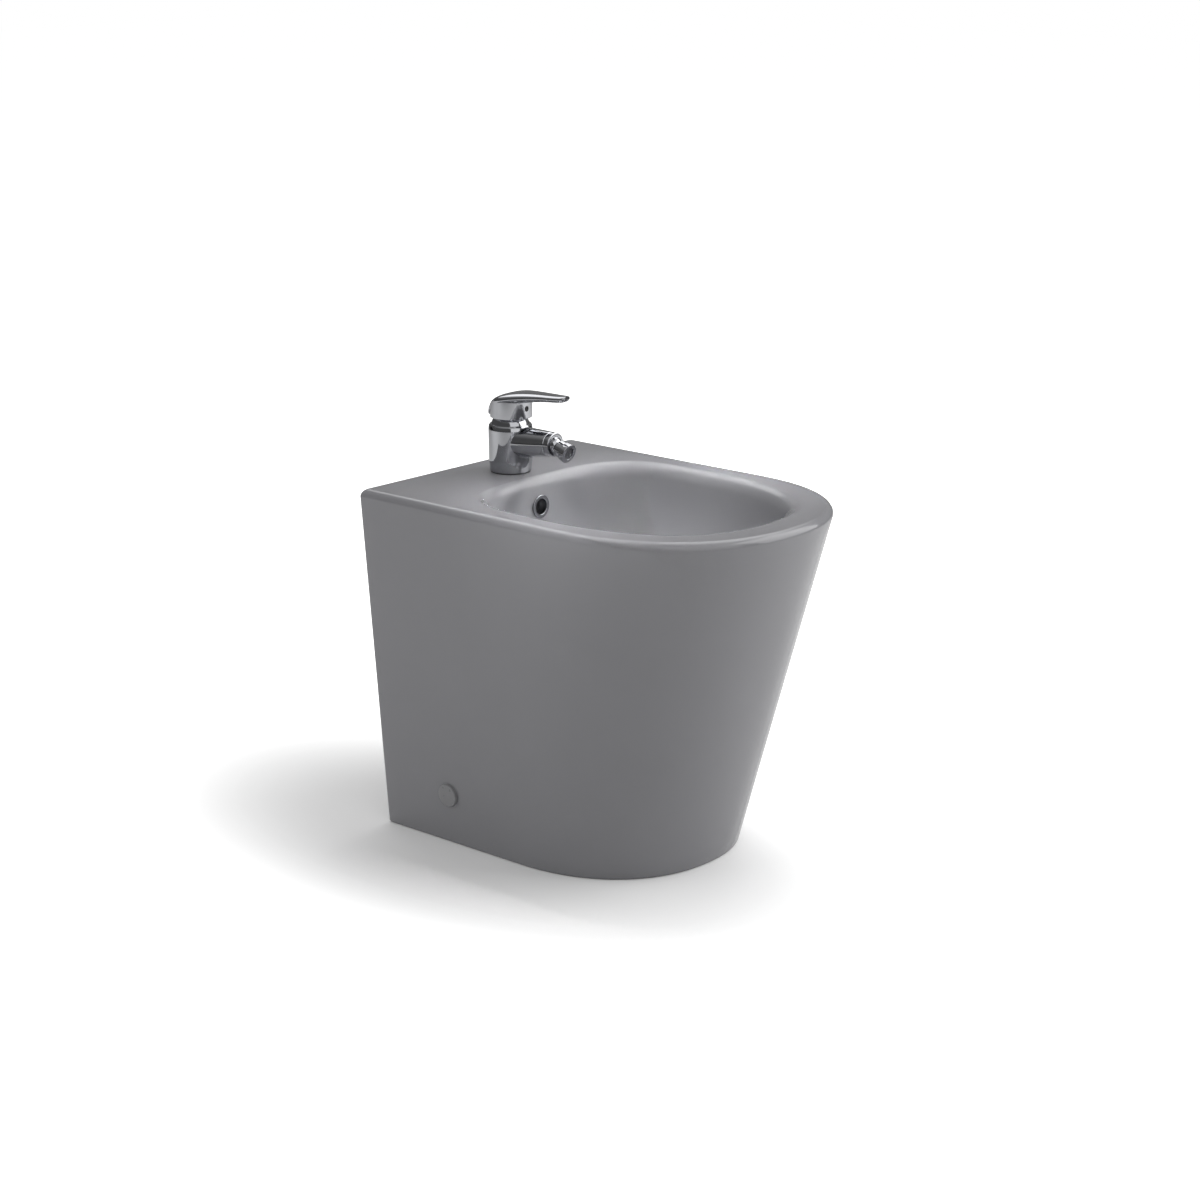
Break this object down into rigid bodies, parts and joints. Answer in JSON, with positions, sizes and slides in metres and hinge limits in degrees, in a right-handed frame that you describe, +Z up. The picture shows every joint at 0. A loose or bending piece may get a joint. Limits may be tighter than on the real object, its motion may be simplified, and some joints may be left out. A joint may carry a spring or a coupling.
{
  "type": "bidet",
  "caption": "Floor-standing back-to-wall bidet: hollow glazed ceramic body with bowl and overflow, single-lever tap with ball-joint nozzle, press waste, bottle trap and floor brackets.",
  "frame": {"origin": "on the floor, in the middle of the body's footprint box", "axes": "+Z up; +Y towards the wall, which the flat back touches; -Y out over the nose; +X to the right of a viewer who stands in front of the nose and faces the wall"},
  "size_m": [0.357, 0.482, 0.507],
  "materials": {
    "ceramic": "gloss",
    "cap_plastic": "gloss",
    "chrome": "polished",
    "brass": "satin",
    "steel": "satin",
    "rubber": "matte",
    "dark_plastic": "matte",
    "white_plastic": "satin",
    "nylon": "matte",
    "disc_ceramic": "polished"
  },
  "bodies": {
    "bidet": {"ceramic_body": "ceramic", "overflow_ring": "chrome", "mixer_body": "chrome", "base_gasket": "rubber", "cartridge_housing": "white_plastic", "fixed_disc": "disc_ceramic", "cartridge_nut": "brass", "dome_cover": "chrome", "spout_collar": "chrome", "fixing_stud": "steel", "saddle_rubber": "rubber", "saddle_plate": "steel", "stud_nut": "brass", "waste_body": "chrome", "waste_top_seal": "rubber", "waste_lower_seal": "rubber", "waste_backnut": "white_plastic", "click_cartridge": "brass", "click_spring": "steel", "tail_pipe": "white_plastic", "tail_washer": "rubber", "tail_nut": "white_plastic", "bottle_body": "white_plastic", "bottle_top_seal": "rubber", "bottle_top_nut": "white_plastic", "bottle_cup": "white_plastic", "cup_seal": "rubber", "outlet_pipe": "white_plastic", "outlet_seal": "rubber", "outlet_nut": "white_plastic", "bracket_left": "nylon", "bracket_right": "nylon", "screw_sleeve_left": "white_plastic", "screw_sleeve_right": "white_plastic", "side_screw_left": "steel", "side_screw_right": "steel", "side_cap_left": "cap_plastic", "side_cap_right": "cap_plastic"},
    "cartridge_turn": {"cartridge_rotor": "nylon", "pivot_pin": "steel"},
    "lever": {"spindle": "steel", "lever_handle": "chrome", "lever_screw": "steel", "indicator_plug": "dark_plastic"},
    "disc": {"moving_disc": "disc_ceramic"},
    "ball_seat": {"ball_seal": "rubber"},
    "nozzle": {"nozzle": "chrome", "aerator_washer": "rubber", "aerator_insert": "white_plastic", "aerator_ring": "chrome"},
    "plug": {"plug_stem": "brass", "plug_cap": "chrome", "plug_seal": "rubber"}
  },
  "joints": [
    {"name": "lever_swivel", "type": "hinge", "parent": "bidet", "child": "cartridge_turn", "pos_m": [0, 0.173, 0.46], "axis": [0, 0, 1], "range_deg": [-45, 45]},
    {"name": "lever_lift", "type": "hinge", "parent": "cartridge_turn", "child": "lever", "pos_m": [0, 0.173, 0.46], "axis": [-1, 0, 0], "range_deg": [0, 18]},
    {"name": "disc_slide", "type": "slide", "parent": "cartridge_turn", "child": "disc", "axis": [0, -1, 0], "range_m": [0, 0.0062]},
    {"name": "nozzle_turn", "type": "hinge", "parent": "bidet", "child": "ball_seat", "pos_m": [0, 0.106, 0.4486], "axis": [0, -1, 0], "range_deg": [-90, 90]},
    {"name": "nozzle_tilt", "type": "hinge", "parent": "ball_seat", "child": "nozzle", "pos_m": [0, 0.106, 0.4486], "axis": [1, 0, 0], "range_deg": [-40, 4]},
    {"name": "plug_press", "type": "slide", "parent": "bidet", "child": "plug", "axis": [0, 0, -1], "range_m": [0, 0.009], "stiffness_N_per_m": 300, "springref_m": -0.012, "deforming": ["click_spring"]}
  ],
  "couplings": [
    {"joint": "disc_slide", "follows": "lever_lift", "m_per_rad": 0.01899}
  ]
}
